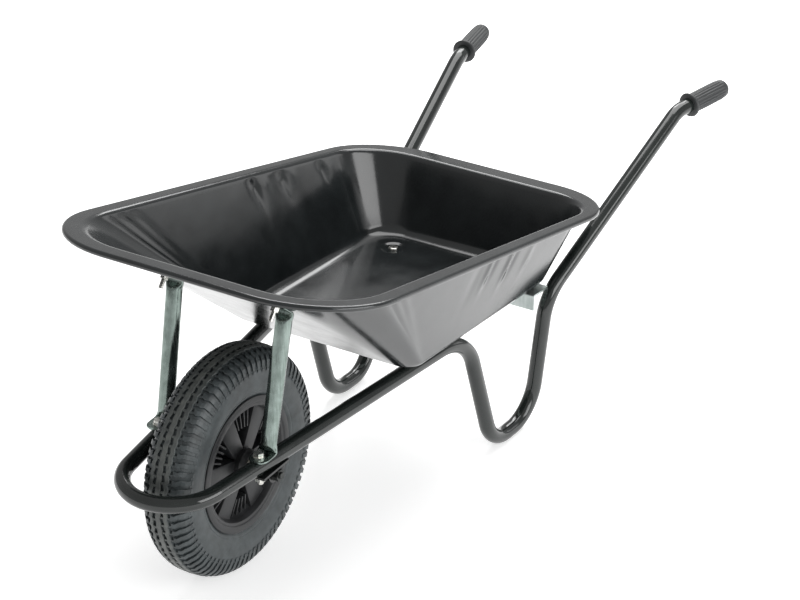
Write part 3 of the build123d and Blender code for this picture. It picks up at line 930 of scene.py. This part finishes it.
# ---- stays ------------------------------------------------------------------------------
@dataclass
class Stay:
    """A zinc-plated tube stay, pressed flat at its foot on the rail and at its tongue on the tray."""

    tube_radius: float = 14.0
    flat_half: float = 18.0
    flat_thickness: float = 2.0
    run_out: float = 15.0
    points_round: int = 32
    foot_bend: Vector = Vector((103.2, -33, 244.7))     # on the rail, where the tube rises
    foot_lift: float = 16.0
    foot_length: float = 38.0
    top_aim: Vector = Vector((108.8, 11.5, 486))
    rail_run: Vector = Vector((0, 1, 0.058))
    wall_foot: Vector = Vector((0, 281, 290.5))         # the front wall's line from floor to mouth
    wall_run: Vector = Vector((0, -378, 301.4))
    wall_gap: float = 3.6
    tongue_y: float = -8.0
    tongue_length: float = 17.0
    crisp_angle: float = 50.0

    def section(self, half: float, thickness: float, square: float) -> list[tuple[float, float]]:
        """One cross-section between round and flat.

        Args:
            half: its half width.
            thickness: its half thickness.
            square: 0 for an ellipse, 1 for a strip with square edges.

        Returns:
            The section's points as (across, through).
        """
        power = 1 - 0.62 * square
        points = []
        for i in range(self.points_round):
            angle = 2 * math.pi * i / self.points_round
            c, s = math.cos(angle), math.sin(angle)
            points.append((
                half * math.copysign(abs(c) ** power, c), thickness * math.copysign(abs(s) ** power, s)))
        return points

    def centre_line(self) -> list[tuple[Vector, float, float, float]]:
        """Stations along the stay as (point, half width, half thickness, squareness), in millimetres."""
        rail = self.rail_run.normalized()
        lift = Vector((0, -rail.z, rail.y))
        bend = self.foot_bend + lift * self.foot_lift
        toe = bend - rail * self.foot_length
        low = self.wall_foot
        along = self.wall_run.normalized()
        normal = Vector((0, -along.z, along.y))
        on_wall = low + along * ((self.tongue_y - low.y) / along.y) + normal * self.wall_gap
        axis = (self.top_aim - bend).normalized()
        corner = bend + axis * ((on_wall - bend).dot(normal) / axis.dot(normal))
        tip = Vector((corner.x, on_wall.y, on_wall.z)) + along * self.tongue_length
        w, t, r = self.flat_half, self.flat_thickness, self.tube_radius
        run = self.run_out
        stations = [
            (toe, w - 13, t, 1), (toe + rail * 0.8, w - 9.5, t, 1), (toe + rail * 2.4, w - 6, t, 1),
            (toe + rail * 5.2, w - 3, t, 1), (toe + rail * 9.5, w - 0.9, t, 1), (toe + rail * 14, w, t, 1),
            (bend - rail * 12, w, t, 1), (bend - rail * 6, w, t + 0.2, 1)]
        rising = (
            (1.5, w, t + 0.8, 1), (4, w - 0.4, t + 2, 0.8), (7, w - 1.2, 5.6, 0.55),
            (10, w - 2.4, 9.2, 0.3), (12.6, r + 0.6, 12.2, 0.12), (run, r, r, 0))
        stations += [(bend + axis * share, *size) for share, *size in rising]
        for step in range(1, 12):
            stations.append((bend.lerp(corner, 0.07 + 0.86 * step / 12), r, r, 0))
        ending = (
            (run + 4, r, r, 0), (run, r, r - 0.6, 0.05), (run - 3, r + 1, 11.6, 0.2),
            (9, r + 2, 8.0, 0.45), (6, r + 2.6, 5.0, 0.75), (3, r + 3, t + 1.2, 1))
        stations += [(corner - axis * share, *size) for share, *size in ending]
        stations += [
            (corner + along * 2, w - 1, t, 1), (corner.lerp(tip, 0.5), w - 1, t, 1),
            (tip - along * 4, w - 1.6, t, 1), (tip - along * 1.4, w - 3.4, t, 1), (tip, w - 6, t, 1)]
        return stations

    def build(self, finish: Material, side: Side) -> None:
        """Builds the right or left stay.

        Args:
            finish: the plated metal.
            side: which stay it is.
        """
        stations = self.centre_line()
        rings = []
        for i, (point, half, thick, square) in enumerate(stations):
            ahead = stations[min(i + 1, len(stations) - 1)][0]
            behind = stations[max(i - 1, 0)][0]
            run = (ahead - behind).normalized()
            across = (Vector((1, 0, 0)) - run * run.x).normalized()
            through = run.cross(across)
            rings.append([
                (point + across * a + through * b) * MM + Vector((0, AXLE.y, 0))
                for a, b in self.section(half, thick, square)])
        stay = sided_piece(loft(rings), "pressed_stay", side)
        stay.data.set_sharp_from_angle(angle=math.radians(self.crisp_angle))
        place(stay, "frame", finish, ["stay_" + side.name.lower()])


# ---- grips ------------------------------------------------------------------------------
@dataclass
class Grip:
    """A moulded rubber handle grip with a hand guard, lengthwise ribs and a closed domed end."""

    tip: Vector = Vector((265.0, 1243.8, 486.2))
    bend: Vector = Vector((239.0, 1107.5, 480.6))
    length: float = 106.0
    ribs: int = 22
    points_per_rib: int = 6
    rib_height: float = 1.1
    rib_valley: float = -0.35

    def stations(self) -> list[tuple[float, float, float]]:
        """(distance from the guard's face, radius, rib share) along the grip, in millimetres."""
        return [
            (0.0, 14.4, 0), (0.0, 17.0, 0), (0.2, 20.5, 0), (1.2, 22.4, 0), (3.0, 23.0, 0),
            (4.8, 22.4, 0), (5.8, 20.8, 0), (6.4, 19.0, 0), (7.6, 17.8, 0), (9.6, 17.4, 0),
            (11.0, 17.2, 0.6), (13.0, 17.2, 1), (30.0, 17.4, 1), (50.0, 17.6, 1), (70.0, 17.4, 1),
            (88.0, 17.2, 1), (91.0, 17.2, 0.5),
            (93.0, 17.3, 0), (97.0, 17.2, 0), (101.0, 16.2, 0), (104.0, 13.8, 0), (105.4, 10.4, 0),
            (106.0, 6.0, 0), (106.0, 1.5, 0),
        ]

    def build(self, finish: Material, side: Side) -> None:
        """Builds the right or left grip.

        Args:
            finish: the rubber.
            side: which grip it is.
        """
        axis = (self.tip - self.bend).normalized()
        base = self.tip - axis * self.length
        across = axis.cross(Vector((0, 0, 1))).normalized()
        up = across.cross(axis)
        count = self.ribs * self.points_per_rib
        rings = []
        for distance, radius, share in self.stations():
            points = []
            for i in range(count):
                angle = 2 * math.pi * i / count
                wave = math.cos(angle * self.ribs)
                r = radius + self.rib_height * share * max(self.rib_valley, wave)
                spot = (
                    base + axis * distance + across * (r * math.cos(angle))
                    + up * (r * math.sin(angle)))
                points.append(spot * MM + Vector((0, AXLE.y, 0)))
            rings.append(points)
        grip = sided_piece(loft(rings), "ribbed_grip", side)
        place(grip, "frame", finish, ["grip_" + side.name.lower()])


# ---- studio -----------------------------------------------------------------------------
@dataclass
class SoftBox:
    """A square studio light, placed by its direction from the barrow."""

    name: str
    azimuth: float
    elevation: float
    distance: float
    width: float
    height: float
    power: float


@dataclass
class Studio:
    """Pale floor, soft lights and the camera."""

    camera_at: Vector = Vector((2.5943, -4.0328, 2.7039))
    azimuth: float = 32.58
    elevation: float = 26.80
    lens: float = 136.467
    target: Vector = Vector((0.0, 0.0, 0.28))
    world: float = 0.5

    def back(self, azimuth: float, elevation: float) -> Vector:
        """The direction from the barrow toward a viewpoint."""
        a, e = math.radians(azimuth), math.radians(elevation)
        return Vector((math.sin(a) * math.cos(e), -math.cos(a) * math.cos(e), math.sin(e)))

    def hang(self, name: str, data: ID, at: Vector, azimuth: float, elevation: float) -> Object:
        """Puts a camera or lamp in the scene, looking back along its direction from the barrow."""
        obj = bpy.data.objects.new(name, data)
        bpy.context.scene.collection.objects.link(obj)
        obj.location = at
        obj.rotation_euler = (-self.back(azimuth, elevation)).to_track_quat("-Z", "Y").to_euler()
        return obj

    def camera(self) -> None:
        """Makes the camera."""
        data = bpy.data.cameras.new("camera")
        data.lens = self.lens
        data.sensor_width = 36.0
        data.sensor_fit = "HORIZONTAL"
        data.clip_start, data.clip_end = 0.1, 60.0
        bpy.context.scene.camera = self.hang(
            "camera", data, self.camera_at, self.azimuth, self.elevation)

    def boxes(self) -> list[SoftBox]:
        """The soft boxes."""
        return [
            SoftBox("key_light", 87, 19, 3.6, 2.9, 1.7, 66),
            SoftBox("top_light", 190, 62, 3.3, 3.2, 2.4, 100),
            SoftBox("back_light", 202, 38, 3.6, 2.0, 0.8, 34),
            SoftBox("side_light", 145, 10, 4.0, 1.4, 0.8, 4),
        ]

    def light(self, box: SoftBox) -> None:
        """Hangs one soft box."""
        data = bpy.data.lights.new(box.name, "AREA")
        data.shape = "RECTANGLE"
        data.size, data.size_y = box.width, box.height
        data.energy = box.power
        at = self.target + self.back(box.azimuth, box.elevation) * box.distance
        self.hang(box.name, data, at, box.azimuth, box.elevation)

    def floor(self) -> None:
        """Lays the pale floor."""
        bm = bmesh.new()
        bmesh.ops.create_grid(bm, x_segments=1, y_segments=1, size=14.0)
        floor = piece_from(bm, "studio_floor")
        material = bpy.data.materials.new("studio_paper")
        material.use_nodes = True
        shader = material.node_tree.nodes["Principled BSDF"]
        shader.inputs["Base Color"].default_value = srgb("f4f4f4")
        shader.inputs["Roughness"].default_value = 0.9
        shader.inputs["Emission Color"].default_value = (1, 1, 1, 1)
        shader.inputs["Emission Strength"].default_value = 0.5
        floor.data.materials.append(material)

    def sky(self) -> None:
        """Sets the even studio surround."""
        world = bpy.data.worlds.new("studio_surround")
        world.use_nodes = True
        background = world.node_tree.nodes["Background"]
        background.inputs["Color"].default_value = (1, 1, 1, 1)
        background.inputs["Strength"].default_value = self.world
        bpy.context.scene.world = world

    def build(self) -> None:
        """Sets up the whole studio."""
        self.camera()
        self.floor()
        self.sky()
        for box in self.boxes():
            self.light(box)
        bpy.context.scene.view_settings.view_transform = "Standard"
        bpy.context.scene.view_settings.look = "None"


# ---- carried-over parts -----------------------------------------------------------------
@dataclass
class CarriedParts:
    """Gives the CAD parts that stay as they are their finishes, by the record's slots."""

    finishes: dict

    def dress(self) -> None:
        """Puts each part's finish in its material slots."""
        slots = {entry["node"]: entry["material_slot"] for entry in frame["record"]["subparts"]}
        for name, obj in frame["nodes"].items():
            finish = self.finishes[slots[name]]
            obj.data.materials.clear()
            obj.data.materials.append(finish)
            log.info("%s wears %s", name, finish.name)


def main() -> None:
    """Builds every piece in order."""
    logging.basicConfig(level=logging.INFO, format="%(name)s: %(message)s")
    finishes = {
        # a wet-looking black that draws one bright line along each tube
        "frame_paint": Enamel(
            "gloss_enamel_on_tube", colour="161a19", worn_colour="1e2321", roughness=0.12,
            roughness_spread=0.03).build(),
        # the same black with long slow waves, so that the panels look like pressed sheet
        "tray_paint": Enamel(
            "gloss_enamel_on_sheet", colour="151819", worn_colour="1d2122", roughness=0.16,
            roughness_spread=0.03, wave_depth=0.5).build(),
        # a duller black for the cut and drilled plates
        "bracket_paint": Enamel("gloss_enamel_on_plate", roughness=0.22).build(),
        # a soft charcoal that reads as something to hold
        "grip_rubber": Moulded(
            "moulded_grip_rubber", colour="2a2c2d", pale="37393a", roughness=0.5).build(),
        # cool green-grey metal, streaked along the tube
        "zinc_tube": Zinc("bright_zinc_on_tube", light="87938e", dark="66716c", roughness=0.2).build(),
        # small bright points at every bolt
        "zinc_fixings": Zinc(
            "bright_zinc_on_fixings", light="e0dfda", dark="a5a59f", streak_length_mm=3).build(),
        # a pale, even strip under the dark tray
        "zinc_plate": Zinc(
            "bright_zinc_on_strip", light="d3dad8", dark="b4bfbc", roughness=0.4).build(),
        # dark metal that stays in the background
        "axle_steel": Zinc(
            "dark_plate_on_axle", light="4a4c4b", dark="343635", roughness=0.35).build(),
        "spacer_steel": Zinc(
            "dark_plate_on_spacers", light="626563", dark="4c4f4d", roughness=0.4).build(),
        # flat black plastic, plainly duller than the enamel round it
        "rim_plastic": Moulded("moulded_rim_polypropylene", colour="1a1b1c", pale="262729").build(),
        # a milky ring at the hub
        "bush_nylon": Moulded("natural_nylon", colour="bdb9ab", pale="cac6ba", roughness=0.45).build(),
        # blue-grey rubber with a soft sheen and a little dust on the crown
        "tyre_rubber": TyreRubber("tyre_rubber").build(),
        # plain black, hidden in the tyre but for the valve
        "tube_rubber": Moulded("butyl_rubber", colour="161616", pale="202020", roughness=0.6).build(),
        "cap_plastic": Moulded("moulded_cap_plastic").build(),
    }
    CarriedParts(finishes).dress()
    Tray().build(finishes["tray_paint"])
    Tyre().build(finishes["tyre_rubber"])
    Rim().build(finishes["rim_plastic"])
    for side in Side:
        Stay().build(finishes["zinc_tube"], side)
        Grip().build(finishes["grip_rubber"], side)
    Studio().build()


if __name__ == "__main__":
    main()
